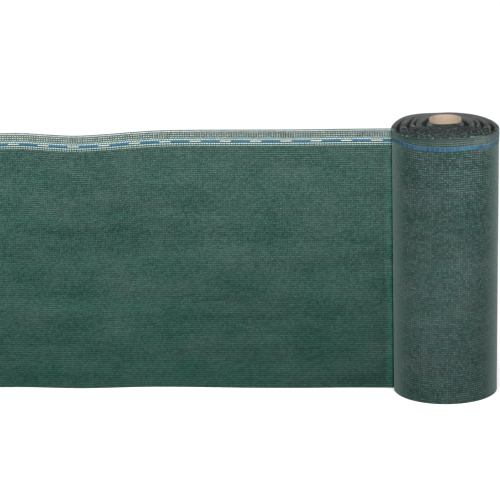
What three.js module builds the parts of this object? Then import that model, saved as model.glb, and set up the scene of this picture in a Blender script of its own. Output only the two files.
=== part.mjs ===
// A roll of knitted shade netting on a card core. The roll stands on its end, and a loose length of the
// netting is drawn out from its side and stands on its lower edge, leaning and bulging a little.
// Millimetres, +Z up, with the shown front of the roll towards -Y. The origin is at the bottom centre of
// the box that holds the whole part.
import * as THREE from "three";
import { mergeVertices } from "three/addons/utils/BufferGeometryUtils.js";

// Driving dimensions
const nettingWidth = 500; // from the marked selvedge at the top to the lower edge
const rollRadiusTop = 98.5; // the selvedge winds up a little thicker than the rest
const rollRadiusBottom = 96.2;
const wrapStep = 1.5; // step in the roll where its last wrap leaves it
const sheetThickness = 1.2;
const pieceGap = 0.3; // clearance between neighbouring pieces
const coreOuterRadius = 29.4;
const coreWall = 4;
const coreLength = 517;
const liftOffAngle = THREE.MathUtils.degToRad(175); // where the last wrap leaves the roll, from +X
const liftOffBend = 2; // radius of the turn from the roll's side into the loose length
const looseReach = 742; // from the side of the roll to the cut end
const leanPower = 1.5; // how much of the loose length's lean is near its upper edge

// Soft swell of the wound surface: ridges round the roll that change once over its height
const swell = { height: 0.4, lobes: 3, phase: 0.6 };

// The wraps' edges are not wound quite level: waves round the wound end
const edgeWaves = [
  { height: 0.45, lobes: 2, phase: 0.4 },
  { height: 0.3, lobes: 5, phase: 1.3 },
];

// The wound end of the roll, from the rim to the core: how far the wraps' edges stand above the netting's
// width at the front of the roll, at its two sides and at its back.
const endRings = [
  { radius: 98.5, front: 3.3, side: -2.5, back: 2.5 },
  { radius: 92.0, front: 5.2, side: -0.5, back: 3 },
  { radius: 90.0, front: 5, side: -3, back: 2 },
  { radius: 86.5, front: 4.3, side: -10, back: -3 },
  { radius: 83.0, front: 5.2, side: -1.5, back: 2 },
  { radius: 80.0, front: 6.6, side: 4.5, back: 5.5 },
  { radius: 72.0, front: 6.8, side: 2.5, back: 4.5 },
  { radius: 66.0, front: 7.2, side: 1, back: 3.5 },
  { radius: 61.0, front: 8.8, side: 7.5, back: 6 },
  { radius: 55.5, front: 8.5, side: 3, back: 4.5 },
  { radius: 50.0, front: 10.6, side: 9.5, back: 7.5 },
  { radius: 44.5, front: 10.2, side: 4, back: 6 },
  { radius: 39.0, front: 11.4, side: -2, back: 3 },
  { radius: 34.0, front: 12.2, side: 5, back: 5 },
  { radius: coreOuterRadius + pieceGap, front: 13.5, side: 12, back: 9 },
];

// How much more the end stands up between its front, sides and back: at the back right, the back left, the
// front left and the front right.
const cornerLifts = [1.4, 4, -1.2, 0.4];

// The loose length, from the roll to its cut end: how far its lower and upper edges lie behind (+) or in
// front of (-) the line on which it leaves the roll, and how far the upper edge has dropped.
const looseFolds = [
  { along: 0, lower: 0, upper: 0, drop: 3 },
  { along: 80, lower: 2.5, upper: 1.5, drop: 3.2 },
  { along: 165, lower: 3, upper: -0.5, drop: 3 },
  { along: 260, lower: 6.5, upper: 2, drop: 3 },
  { along: 350, lower: 13, upper: 3.5, drop: 2.8 },
  { along: 415, lower: 17, upper: 0.5, drop: 2.6 },
  { along: 465, lower: 17, upper: -9, drop: 3 },
  { along: 515, lower: 14, upper: -22.5, drop: 3.2 },
  { along: 565, lower: 12.5, upper: -30.5, drop: 3.2 },
  { along: 615, lower: 16.5, upper: -20, drop: 3 },
  { along: 665, lower: 22, upper: -6, drop: 3.2 },
  { along: 727, lower: 23, upper: -6, drop: 4.2 },
];

// Steps of the meshes
const turnSteps = 96;
const coreSteps = 48;
const wallSteps = 6;
const bendSteps = 7;
const runSteps = 38;
const widthSteps = 12;
const mergeDistance = 1e-3;

const nettingGreen = new THREE.MeshStandardMaterial({ color: 0x3f6358, roughness: 0.8, metalness: 0 });
const cardBrown = new THREE.MeshStandardMaterial({ color: 0xc8a98c, roughness: 0.9, metalness: 0 });

// Collects triangles and leaves out those that have no area because two corners meet.
class TriangleList {
  corners = [];

  triangle(a, b, c) {
    const meets = (p, q) => p.distanceTo(q) < mergeDistance;
    if (!meets(a, b) && !meets(b, c) && !meets(c, a)) this.corners.push(a, b, c);
  }

  quad(a, b, c, d) {
    this.triangle(a, b, c);
    this.triangle(a, c, d);
  }

  // A band between two closed outlines with the same number of points
  band(outline, next) {
    outline.forEach((point, k) => {
      const after = (k + 1) % outline.length;
      this.quad(point, outline[after], next[after], next[k]);
    });
  }

  // Closes off an outline whose second half runs back beside its first half.
  cap(outline) {
    for (let k = 0; k < outline.length / 2 - 1; k++) {
      const beside = outline.length - 1 - k;
      this.quad(outline[k], outline[beside], outline[beside - 1], outline[k + 1]);
    }
  }

  geometry() {
    const surface = new THREE.BufferGeometry().setFromPoints(this.corners);
    const merged = mergeVertices(surface, mergeDistance);
    merged.computeVertexNormals();
    return merged;
  }
}

// Share of a full turn since the last wrap left the roll, from 0 to 1
const turnShare = (angle) => (angle - liftOffAngle) / (2 * Math.PI);

const taperedRadius = (height) =>
  THREE.MathUtils.lerp(rollRadiusBottom, rollRadiusTop, height / nettingWidth);

// The wound surface is a spiral that ends in the wrap's step, with a soft swell that fades at the step.
function rollRadius(angle, height) {
  const upright = Math.sin((2 * Math.PI * height) / nettingWidth + swell.phase);
  const round = Math.sin(swell.lobes * angle) * Math.sin(Math.PI * turnShare(angle));
  return taperedRadius(height) - wrapStep * (1 - turnShare(angle)) + swell.height * upright * round;
}

// Height of the wraps' edges on the wound end, for one ring of its table at one angle
function edgeHeight(ring, angle) {
  const facing = Math.sin(angle) ** 2;
  const along = Math.sin(angle) < 0 ? ring.front : ring.back;
  const quarter = Math.floor(THREE.MathUtils.euclideanModulo(angle, 2 * Math.PI) / (Math.PI / 2));
  const corner = cornerLifts[quarter] * Math.sin(2 * angle) ** 2;
  const uneven = edgeWaves.map((wave) => wave.height * Math.sin(wave.lobes * angle + wave.phase));
  const level = nettingWidth + THREE.MathUtils.lerp(ring.side, along, facing);
  return level + corner + uneven[0] + uneven[1];
}

// One closed outline of the roll's section: up the core, out over the wound end, down the wound wall and in
// along the base.
function rollSection(angle) {
  const point = (radius, height) =>
    new THREE.Vector3(radius * Math.cos(angle), radius * Math.sin(angle), height);
  const innermost = endRings.at(-1).radius;
  const rim = edgeHeight(endRings[0], angle);
  const section = [point(innermost, 0)];
  endRings.slice(1).reverse().forEach((ring) => section.push(point(ring.radius, edgeHeight(ring, angle))));
  for (let k = wallSteps; k >= 0; k--) {
    const height = (rim * k) / wallSteps;
    section.push(point(rollRadius(angle, height), height));
  }
  section.push(point((innermost + rollRadiusBottom) / 2, 0));
  return section;
}

function rollGeometry() {
  const triangles = new TriangleList();
  for (let i = 0; i < turnSteps; i++) {
    const angle = liftOffAngle + (2 * Math.PI * i) / turnSteps;
    triangles.band(rollSection(angle), rollSection(angle + (2 * Math.PI) / turnSteps));
  }
  triangles.band(rollSection(liftOffAngle + 2 * Math.PI), rollSection(liftOffAngle));
  return triangles.geometry();
}

// A smooth curve through one column of the loose length's table, read at a share of its length
function foldColumn(column) {
  const curve = new THREE.SplineCurve(looseFolds.map((row) => new THREE.Vector2(row.along, row[column])));
  const spans = looseFolds.length - 1;
  return (share) => {
    const wanted = share * looseFolds[spans].along;
    const k = Math.min(looseFolds.findLastIndex((row) => row.along <= wanted), spans - 1);
    const within = (wanted - looseFolds[k].along) / (looseFolds[k + 1].along - looseFolds[k].along);
    return curve.getPoint((k + within) / spans).y;
  };
}
const lowerEdge = foldColumn("lower");
const upperEdge = foldColumn("upper");
const upperDrop = foldColumn("drop");

const runShare = (station) => Math.max(0, (station - bendSteps) / runSteps);

// Middle of the loose length in plan at one station: first round the bend at the roll, then along the run.
function looseMiddle(station, widthShare) {
  const outward = new THREE.Vector2(Math.cos(liftOffAngle), Math.sin(liftOffAngle));
  const ahead = new THREE.Vector2(-outward.y, outward.x);
  const reach = taperedRadius(widthShare * nettingWidth) - sheetThickness / 2 + liftOffBend;
  const bendCentre = outward.clone().multiplyScalar(reach).addScaledVector(ahead, pieceGap);
  const turned = (liftOffAngle - Math.PI / 2) * Math.min(station / bendSteps, 1);
  const spoke = outward.clone().multiplyScalar(-liftOffBend).rotateAround(new THREE.Vector2(), -turned);
  const middle = bendCentre.add(spoke);
  if (station > bendSteps) {
    const share = runShare(station);
    middle.x = THREE.MathUtils.lerp(middle.x, -rollRadiusTop - looseReach, share);
    middle.y += THREE.MathUtils.lerp(lowerEdge(share), upperEdge(share), widthShare ** leanPower);
  }
  return middle;
}

// One closed outline of the loose length's section: up its front face and down its back face
function looseSection(station) {
  const front = [];
  const back = [];
  for (let j = 0; j <= widthSteps; j++) {
    const widthShare = j / widthSteps;
    const before = looseMiddle(Math.max(station - 1, 0), widthShare);
    const after = looseMiddle(Math.min(station + 1, bendSteps + runSteps), widthShare);
    const heading = after.sub(before).normalize();
    const aside = new THREE.Vector2(-heading.y, heading.x).multiplyScalar(sheetThickness / 2);
    const height = widthShare * (nettingWidth - upperDrop(runShare(station)));
    const middle = looseMiddle(station, widthShare);
    front.push(new THREE.Vector3(middle.x + aside.x, middle.y + aside.y, height));
    back.unshift(new THREE.Vector3(middle.x - aside.x, middle.y - aside.y, height));
  }
  return [...front, ...back];
}

function looseGeometry() {
  const triangles = new TriangleList();
  const stations = bendSteps + runSteps;
  triangles.cap(looseSection(0));
  for (let i = 0; i < stations; i++) triangles.band(looseSection(i), looseSection(i + 1));
  triangles.cap(looseSection(stations).reverse());
  return triangles.geometry();
}

function coreGeometry() {
  const coreBore = coreOuterRadius - coreWall;
  const profile = [
    new THREE.Vector2(coreBore, 0),
    new THREE.Vector2(coreOuterRadius, 0),
    new THREE.Vector2(coreOuterRadius, coreLength),
    new THREE.Vector2(coreBore, coreLength),
    new THREE.Vector2(coreBore, 0),
  ];
  return new THREE.LatheGeometry(profile, coreSteps).rotateX(Math.PI / 2);
}

function namedMesh(name, geometry, material) {
  const mesh = new THREE.Mesh(geometry, material);
  mesh.name = name;
  return mesh;
}

// Everything is laid out round the roll's own axis, then moved so that the box sits on the origin.
const part = new THREE.Group();
part.add(namedMesh("core_tube", coreGeometry(), cardBrown));
part.add(namedMesh("netting_roll", rollGeometry(), nettingGreen));
part.add(namedMesh("loose_length", looseGeometry(), nettingGreen));
const box = new THREE.Box3().setFromObject(part);
const boxMiddle = box.getCenter(new THREE.Vector3());
part.position.set(-boxMiddle.x, -boxMiddle.y, -box.min.z);

export default part;
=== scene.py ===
# %% [markdown]
# A roll of knitted shade netting
#
# The object is a roll of dark green shade netting wound on a card core, standing on its end, with a loose
# length drawn out from its side. The netting is knitted, not woven: pillars of chain stitches run along its
# length, and flat tapes zigzag between them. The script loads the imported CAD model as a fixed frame, in
# metres with Z up, and dresses it piece by piece.

# %% Load the frame
import math
import bpy
import numpy as np
from mathutils import Matrix, Vector


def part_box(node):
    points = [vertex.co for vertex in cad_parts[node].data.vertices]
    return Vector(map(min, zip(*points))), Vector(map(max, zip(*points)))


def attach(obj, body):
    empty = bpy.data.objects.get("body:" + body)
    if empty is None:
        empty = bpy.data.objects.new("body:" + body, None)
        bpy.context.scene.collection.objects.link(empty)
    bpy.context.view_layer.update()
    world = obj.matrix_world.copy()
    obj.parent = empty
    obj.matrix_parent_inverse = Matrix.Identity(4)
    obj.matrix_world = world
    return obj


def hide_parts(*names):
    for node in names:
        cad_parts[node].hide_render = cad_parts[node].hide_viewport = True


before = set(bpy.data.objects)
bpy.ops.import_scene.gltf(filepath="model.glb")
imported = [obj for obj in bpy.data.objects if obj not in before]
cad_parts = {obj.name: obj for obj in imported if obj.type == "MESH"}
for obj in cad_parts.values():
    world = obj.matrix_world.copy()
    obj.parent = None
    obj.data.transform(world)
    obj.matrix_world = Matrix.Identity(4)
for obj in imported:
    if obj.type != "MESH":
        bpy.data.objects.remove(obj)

bpy.context.view_layer.update()

# %% [markdown]
# Sizes from the frame
#
# The roll's own axis is the middle of the card core, so every round piece is laid out round it. The other
# sizes repeat the CAD's, because the netting here has to lie on the solids that stand for it. Lengths are
# in metres, and MM makes the small ones easier to read.

# %% Sizes
MM = 0.001
core_low, core_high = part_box("core_tube")
loose_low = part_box("loose_length")[0]
axis_x = (core_low.x + core_high.x) / 2
axis_y = (core_low.y + core_high.y) / 2
netting_width = 500 * MM
roll_radius_top = 98.5 * MM
roll_radius_bottom = 96.2 * MM
wrap_step = 1.5 * MM
piece_gap = 0.3 * MM
core_radius = (core_high.x - core_low.x) / 2
core_wall = 4 * MM
core_length = core_high.z
lift_off_angle = math.radians(175)
lift_off_bend = 2 * MM
sheet_thickness = 1.2 * MM
print("roll axis at", round(axis_x, 4), round(axis_y, 4))
print("core radius", round(core_radius, 4), "length", round(core_length, 4))

# %% [markdown]
# The knit's own scale
#
# A pillar is one chain of stitches, and it is what shows as a fine line along the netting. The pillars lie
# 4 mm apart and their stitches are 4.5 mm long. Counted from the upper edge, the first rows are an open
# selvedge, then come the marker rows, and the rest is the close shading net.

# %% Rows and stitches
row_pitch = 4.04 * MM
stitch_length = 4.525 * MM
edge_inset = 0.7 * MM
marker_row = 5
open_rows = 4.4
loose_stitches = 165
turn_stitches = 136
print("stitches along the loose length", loose_stitches, "and round the roll", turn_stitches)

# %% [markdown]
# Smooth tables
#
# The uneven shapes, such as the folds of the loose length, are short tables of sizes. A curve that passes
# through every row of a table turns them into smooth shapes. This one is the same spline that the CAD uses,
# so the looks and the solids bend alike.

# %% Read a table along a smooth curve
def smooth_table(where, stops, values):
    """The values at the places where, on a spline through the values at the stops."""
    stops = np.asarray(stops, float)
    values = np.asarray(values, float)
    where = np.clip(where, stops[0], stops[-1])
    k = np.clip(np.searchsorted(stops, where, side="right") - 1, 0, len(stops) - 2)
    t = (where - stops[k]) / (stops[k + 1] - stops[k])
    before = values[np.maximum(k - 1, 0)]
    here = values[k]
    after = values[k + 1]
    beyond = values[np.minimum(k + 2, len(values) - 1)]
    slope_here = (after - before) / 2
    slope_after = (beyond - here) / 2
    cubic = 2 * here - 2 * after + slope_here + slope_after
    square = -3 * here + 3 * after - 2 * slope_here - slope_after
    return cubic * t**3 + square * t**2 + slope_here * t + here


# %% [markdown]
# The wound shape
#
# The roll was wound a little unevenly: the wraps' edges climb towards the core, and some groups of wraps
# stand proud of their neighbours, which leaves rings and dark gaps at the end. The table gives each ring's
# height over the netting's width at the front, at the sides and at the back. Between those the end stands up
# or drops a little more. The last wrap wasn't wound quite level either, so its marker rows drift up and down
# round the roll.

# %% Shape of the roll
end_rings = [
    # radius, front, side, back, all in millimetres
    (98.5, 3.3, -2.5, 2.5),
    (92.0, 5.2, -0.5, 3.0),
    (90.0, 5.0, -3.0, 2.0),
    (86.5, 4.3, -10.0, -3.0),
    (83.0, 5.2, -1.5, 2.0),
    (80.0, 6.6, 4.5, 5.5),
    (72.0, 6.8, 2.5, 4.5),
    (66.0, 7.2, 1.0, 3.5),
    (61.0, 8.8, 7.5, 6.0),
    (55.5, 8.5, 3.0, 4.5),
    (50.0, 10.6, 9.5, 7.5),
    (44.5, 10.2, 4.0, 6.0),
    (39.0, 11.4, -2.0, 3.0),
    (34.0, 12.2, 5.0, 5.0),
    (29.7, 13.5, 12.0, 9.0),
]
ring_radius, ring_front, ring_side, ring_back = np.array(end_rings[::-1]).T * MM
edge_waves = [
    # height, lobes round the roll, phase
    (0.45 * MM, 2, 0.4),
    (0.3 * MM, 5, 1.3),
]
# back right, back left, front left, front right
corner_lifts = np.array([1.4, 4, -1.2, 0.4]) * MM
swell_height = 0.4 * MM
swell_lobes = 3
swell_phase = 0.6
row_drift = [
    # degrees round the roll, rise of the marker rows in millimetres
    (175, 4.0), (190, 5.2), (208, 7.0), (222, 4.2), (238, 1.9), (255, 1.3), (275, 0.2),
    (292, 1.8), (305, 1.6), (315, 0.5), (330, 1.3), (360, 1.0), (440, 0), (535, 0),
]
drift_spread = [
    # millimetres from the upper edge, share of that rise
    (0, 0), (10, 0.45), (21, 1), (35, 0.85), (60, 0.4), (100, 0), (500, 0),
]
drift_angle, drift_rise = np.array(row_drift).T
drift_across, drift_share = np.array(drift_spread).T


def end_height(radius, angle):
    """Height of the wraps' edges over the floor, at the roll's upper end."""
    facing = np.sin(angle) ** 2
    along = np.where(
        np.sin(angle) < 0,
        smooth_table(radius, ring_radius, ring_front),
        smooth_table(radius, ring_radius, ring_back),
    )
    side = smooth_table(radius, ring_radius, ring_side)
    uneven = sum(height * np.sin(lobes * angle + phase) for height, lobes, phase in edge_waves)
    quarter = np.floor(np.mod(angle, 2 * math.pi) / (math.pi / 2)).astype(int) % 4
    corner = corner_lifts[quarter] * np.sin(2 * angle) ** 2
    return netting_width + side + (along - side) * facing + corner + uneven


def rim_height(angle):
    return end_height(np.full(np.shape(angle), ring_radius[-1]), angle)


def wound_radius(angle, height):
    """Radius of the wound surface. Angles run one turn on from where the last wrap leaves the roll."""
    share = (angle - lift_off_angle) / (2 * math.pi)
    taper = roll_radius_bottom + (roll_radius_top - roll_radius_bottom) * height / netting_width
    upright = np.sin(2 * math.pi * height / netting_width + swell_phase)
    swell = swell_height * np.sin(swell_lobes * angle) * np.sin(math.pi * share) * upright
    return taper - wrap_step * (1 - share) + swell


for side, angle in (("front", -math.pi / 2), ("left", math.pi), ("back", math.pi / 2)):
    print("rim height at the", side, round(float(rim_height(angle)), 4))

# %% [markdown]
# The loose length's shape
#
# The loose length leaves the roll round a short bend, runs off to the left and stands on its lower edge.
# Its upper edge is free, so it leans and bulges more. The table follows the dips of the upper edge.

# %% Shape of the loose length
loose_folds = [
    # along, lower edge, upper edge, drop, all in millimetres
    (0, 0, 0, 3),
    (80, 2.5, 1.5, 3.2),
    (165, 3, -0.5, 3),
    (260, 6.5, 2, 3),
    (350, 13, 3.5, 2.8),
    (415, 17, 0.5, 2.6),
    (465, 17, -9, 3),
    (515, 14, -22.5, 3.2),
    (565, 12.5, -30.5, 3.2),
    (615, 16.5, -20, 3),
    (665, 22, -6, 3.2),
    (727, 23, -6, 4.2),
]
fold_along, fold_lower, fold_upper, fold_drop = np.array(loose_folds, float).T * MM
lean_power = 1.5
bend_turn = lift_off_angle - math.pi / 2
bend_length = lift_off_bend * bend_turn
loose_end_x = loose_low.x - axis_x
loose_length = loose_stitches * stitch_length
print("loose length", round(loose_length, 3), "m along, its bend", round(bend_length / MM, 1), "mm")


def loose_middle(run, width_share):
    """Middle of the loose length in plan, round the roll's axis, at a distance along it."""
    radius = roll_radius_bottom + (roll_radius_top - roll_radius_bottom) * width_share
    reach = radius - sheet_thickness / 2 + lift_off_bend
    turned = bend_turn * np.clip(run / bend_length, 0, 1)
    spoke = lift_off_angle + math.pi - turned
    outward_x, outward_y = math.cos(lift_off_angle), math.sin(lift_off_angle)
    x = reach * outward_x - piece_gap * outward_y + lift_off_bend * np.cos(spoke)
    y = reach * outward_y + piece_gap * outward_x + lift_off_bend * np.sin(spoke)
    share = np.clip((run - bend_length) / (loose_length - bend_length), 0, 1)
    place = share * fold_along[-1]
    lower = smooth_table(place, fold_along, fold_lower)
    upper = smooth_table(place, fold_along, fold_upper)
    lean = width_share**lean_power
    return x + (loose_end_x - x) * share, y + lower + (upper - lower) * lean


def loose_point(run, across, lift):
    """A point on the loose length: run along it, across from its upper edge, lift in front of its middle."""
    share = np.clip((run - bend_length) / (loose_length - bend_length), 0, 1)
    drop = smooth_table(share * fold_along[-1], fold_along, fold_drop)
    width_share = 1 - across / netting_width
    x, y = loose_middle(run, width_share)
    step = 1 * MM
    x_after, y_after = loose_middle(np.minimum(run + step, loose_length), width_share)
    x_before, y_before = loose_middle(np.maximum(run - step, 0), width_share)
    heading = np.hypot(x_after - x_before, y_after - y_before)
    front_x = -(y_after - y_before) / heading
    front_y = (x_after - x_before) / heading
    z = width_share * (netting_width - drop)
    return np.stack([axis_x + x + lift * front_x, axis_y + y + lift * front_y, z], axis=-1)


def roll_point(run, across, lift):
    """A point on the last wrap: run back along it from where it leaves the roll, across from its edge."""
    angle = lift_off_angle + 2 * math.pi * (1 - run / (turn_stitches * stitch_length))
    drift = smooth_table(np.degrees(angle), drift_angle, drift_rise) * MM
    drift = drift * smooth_table(across / MM, drift_across, drift_share)
    height = rim_height(angle) * (1 - across / netting_width) + drift
    radius = wound_radius(angle, height) + lift
    return np.stack([axis_x + radius * np.cos(angle), axis_y + radius * np.sin(angle), height], axis=-1)


# %% [markdown]
# Mesh helpers
#
# The pieces are grids, so they are made from numpy arrays instead of one vertex at a time. Each vertex also
# carries its place on the cloth, in metres along and across it. The materials read that place, so stitches
# follow the netting round the roll and over its folds.

# %% Make a mesh from arrays
def add_piece(name, points, faces, place=None, smooth=True):
    """Adds a piece that rides on the object's one body."""
    mesh = bpy.data.meshes.new(name)
    mesh.from_pydata(np.asarray(points).tolist(), [], faces)
    mesh.validate()
    if place is not None:
        layer = mesh.attributes.new("cloth_place", "FLOAT_VECTOR", "POINT")
        layer.data.foreach_set("vector", np.asarray(place, np.float32).ravel())
    if smooth:
        mesh.shade_smooth()
    else:
        mesh.shade_flat()
    piece = bpy.data.objects.new(name, mesh)
    bpy.context.collection.objects.link(piece)
    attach(piece, "root")
    return piece


def grid_faces(rows, columns, first=0, closed=False, flip=False):
    """Quads between neighbouring vertices of a grid whose vertices are numbered row by row."""
    number = first + np.arange(rows * columns).reshape(rows, columns)
    if closed:
        number = np.hstack([number, number[:, :1]])
    near_side, far_side = number[:-1], number[1:]
    corners = [near_side[:, :-1], near_side[:, 1:], far_side[:, 1:], far_side[:, :-1]]
    quads = np.stack(corners, axis=-1).reshape(-1, 4)
    if flip:
        quads = quads[:, ::-1]
    return quads.tolist()


def triangle_count(piece):
    return sum(len(polygon.vertices) - 2 for polygon in piece.data.polygons)


# %% [markdown]
# Relief of the knit
#
# On the real netting each pillar is a small chain of loops that stands proud, and the tapes between them lie
# lower. The mesh takes two vertices for each pillar and two for each stitch, which is enough to raise every
# stitch as a soft bump. The yarns inside a stitch are finer than that, so they are left to the material.

# %% Knit relief
pillar_rise = 0.14 * MM
stitch_rise = 0.16 * MM
tape_rise = 0.1 * MM


def knit_relief(row, stitch):
    """Height of the knit over the cloth's ground. Whole rows and whole stitches are the tops."""
    pillar = 0.5 + 0.5 * np.cos(2 * math.pi * row)
    bump = 0.5 + 0.5 * np.cos(2 * math.pi * stitch)
    return pillar * (pillar_rise + stitch_rise * bump) + (1 - pillar) * (1 - bump) * tape_rise


def knit_grid(point, rows, stitches, side, ground):
    """Vertices over one face of the knit: their points, and their places along and across the cloth."""
    row, stitch = np.meshgrid(rows, stitches, indexing="ij")
    run = stitch * stitch_length
    across = edge_inset + row * row_pitch
    lift = ground + side * knit_relief(row, stitch)
    points = point(run, across, lift).reshape(-1, 3)
    place = np.stack([run, across, np.zeros_like(run)], axis=-1).reshape(-1, 3)
    return points, place


# %% [markdown]
# Knitted cloth as a closed sheet
#
# The netting is a thin closed sheet: a front and a back that both carry the relief, joined round the edges.
# The front is fine, with two steps for each stitch, and the back takes one step for every few of them. A
# subdivided plane with a displacement would look alike, but it would not know where the rows and stitches
# are. The same function makes the loose length and the roll's last wrap.

# %% Knitted cloth
def knit_cloth(name, point, rows, stitches, back_step, front_ground, back_ground):
    """A closed sheet of knit. Stitches has a multiple of back_step steps."""
    sparse = stitches[::back_step]
    front, front_place = knit_grid(point, rows, stitches, 1, front_ground)
    back, back_place = knit_grid(point, rows, sparse, -1, back_ground)
    f = np.arange(len(front)).reshape(len(rows), len(stitches))
    b = len(front) + np.arange(len(back)).reshape(len(rows), len(sparse))
    faces = grid_faces(len(rows), len(stitches))
    faces += grid_faces(len(rows), len(sparse), first=len(front), flip=True)
    for k in range(len(sparse) - 1):
        edge = slice(back_step * k, back_step * (k + 1) + 1)
        faces.append([*f[0, edge][::-1].tolist(), int(b[0, k]), int(b[0, k + 1])])
        faces.append([*f[-1, edge].tolist(), int(b[-1, k + 1]), int(b[-1, k])])
    starts = np.stack([f[:-1, 0], f[1:, 0], b[1:, 0], b[:-1, 0]], axis=-1)
    ends = np.stack([f[1:, -1], f[:-1, -1], b[:-1, -1], b[1:, -1]], axis=-1)
    faces += np.vstack([starts, ends]).tolist()
    return add_piece(name, np.vstack([front, back]), faces, np.vstack([front_place, back_place]))


def half_steps(last):
    """Two steps for each stitch, from the first to the last."""
    return np.arange(0, last + 0.25, 0.5)


# %% Loose length
ground_offset = 0.25 * MM
loose_back_step = 6
least_row_step = 0.2
last_row = (netting_width - 2 * edge_inset) / row_pitch
cloth_rows = np.append(np.arange(0, last_row - least_row_step, 0.5), last_row)
loose = knit_cloth(
    "loose_sheet", loose_point, cloth_rows, half_steps(loose_stitches),
    loose_back_step, ground_offset, -ground_offset,
)
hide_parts("loose_length")
print("loose_sheet", triangle_count(loose), "triangles")

# %% [markdown]
# The last wrap
#
# The outside of the roll is one more turn of the same cloth. It starts under the step where the loose
# length leaves, goes once round, and covers the turns below it. Only its outside shows, so its inside is
# left coarse.

# %% Last wrap
wrap_thickness = 0.9 * MM
wrap_back_step = 8
wrap = knit_cloth(
    "last_wrap", roll_point, cloth_rows, half_steps(turn_stitches),
    wrap_back_step, 0, -wrap_thickness,
)
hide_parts("netting_roll")
print("last_wrap", triangle_count(wrap), "triangles")

# %% [markdown]
# The wound ends
#
# At the ends of the roll the edges of all its wraps show, packed half a millimetre apart. They are one long
# spiral, so the mesh is a spiral too: a crest along the wrap's edge and a groove beside it, where the groove
# of one turn meets the crest of the next. A flat disc with a bump would lose the dark gaps between the rings.
# Each crest also keeps how deep it lies among its neighbours, and the material darkens it by that as painted
# shade.

# %% How deep a wrap's edge lies
level_recess = 0.3
deepest_recess = 0.9
recess_fall = 4.5 * MM
recess_reach = (-9, -6, -3, 3, 6, 9)


def wound_recess(radius, turned, flip):
    """How deep a wrap's edge lies among its neighbours, from 0 for the proud rings to the deepest."""
    if flip:
        return np.full_like(radius, level_recess)
    around = [end_height(radius + shift * MM, turned) for shift in recess_reach]
    depth = np.mean(around, axis=0) - end_height(radius, turned)
    return np.clip(level_recess + depth / recess_fall, 0, deepest_recess)


# %% Spiral of wrap edges
def spiral_faces(total, steps):
    """Faces between the crests and grooves, and the vertices along the spiral's inner and outer edge."""
    c = np.arange(total + 1)
    g = c + total + 1
    left = total - steps
    band = np.stack([c[:-1], g[:-1], g[1:], c[1:]], axis=-1)
    next_band = np.stack([g[:left], c[steps:total], c[steps + 1 :], g[1 : left + 1]], axis=-1)
    inside = np.concatenate([c[: steps + 1], g[:1]])
    outside = np.concatenate([g[left:], c[-1:]])
    return [band, next_band], inside, outside


def wound_annulus(name, outer, turns, steps, crest_height, groove_height, skirt_height, flip):
    """A closed ring with a spiral of crests and grooves on one face, and flat on the other."""
    inner = core_radius + piece_gap
    pitch = (outer - inner) / (turns + 1)
    total = turns * steps
    turned = 2 * math.pi * np.arange(total + 1) / steps
    crest = inner + pitch * turned / (2 * math.pi)
    groove = crest + pitch / 2

    def ring(radius, height):
        return np.stack([axis_x + radius * np.cos(turned), axis_y + radius * np.sin(turned), height], axis=-1)

    crests = ring(crest, crest_height(crest, turned))
    grooves = ring(groove, groove_height(groove, turned))
    faces, inside, outside = spiral_faces(total, steps)
    points = np.vstack([crests, grooves])
    along = turned * (inner + outer) / 2
    crest_place = np.stack([along, wound_recess(crest, turned, flip), crest], axis=-1)
    groove_place = np.stack([along, np.ones_like(along), groove], axis=-1)
    place = np.vstack([crest_place, groove_place])
    skirt_place = place[np.concatenate([inside, outside])]
    skirt = points[np.concatenate([inside, outside])].copy()
    skirt[:, 2] = skirt_height
    si = len(points) + np.arange(len(inside))
    so = si[-1] + 1 + np.arange(len(outside))
    for upper, lower, turned_over in ((inside, si, False), (outside, so, True)):
        quads = np.stack([upper, np.roll(upper, -1), np.roll(lower, -1), lower], axis=-1)
        faces.append(quads[:, ::-1] if turned_over else quads)
    faces.append(np.stack([si, np.roll(si, -1), np.roll(so, -1), so], axis=-1))
    faces = np.vstack(faces)
    if flip:
        faces = faces[:, ::-1]
    return add_piece(name, np.vstack([points, skirt]), faces.tolist(), np.vstack([place, skirt_place]))


# %% Flutter of a wrap's edge
# waves for each radian round the roll, phase
slow_waves = [(0.371, 1.0), (0.618, 2.3), (1.157, 0)]
quick_waves = [(2.713, 0.7), (5.237, 1.9), (11.41, 0)]
slow_share = 0.28
quick_share = 0.16


def edge_flutter(turned):
    """How unevenly one wrap's edge runs along the spiral, from -1 to 1 or so."""
    slow = sum(np.sin(rate * turned + phase) for rate, phase in slow_waves)
    quick = sum(np.sin(rate * turned + phase) for rate, phase in quick_waves)
    return slow_share * slow + quick_share * quick


# %% Upper wound end
wrap_pitch = 0.54 * MM
wound_outer = roll_radius_top - wrap_step - wrap_thickness
upper_turns = int((wound_outer - core_radius) / wrap_pitch)
upper_steps = 216
end_skirt = netting_width - 30 * MM
crest_flutter = 0.8 * MM
groove_depth = 1.6 * MM
groove_flutter = 0.4 * MM
flutter_shift = 3


def upper_crest(radius, turned):
    return end_height(radius, turned) + crest_flutter * edge_flutter(turned)


def upper_groove(radius, turned):
    bottom = end_height(radius, turned) - groove_depth
    return bottom + groove_flutter * edge_flutter(turned + flutter_shift)


end = wound_annulus(
    "wound_end", wound_outer, upper_turns, upper_steps,
    upper_crest, upper_groove, end_skirt, flip=False,
)
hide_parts("netting_roll")

# %% Lower wound end
base_inset = 0.4 * MM
base_outer = roll_radius_bottom - wrap_step - wrap_thickness - base_inset
lower_turns = upper_turns // 2
lower_steps = 120
base_skirt = 20 * MM
base_groove = 1.5 * MM
base_flutter = 0.5 * MM


def lower_crest(radius, turned):
    return np.zeros_like(radius)


def lower_groove(radius, turned):
    return base_groove + base_flutter * edge_flutter(turned)


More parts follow.
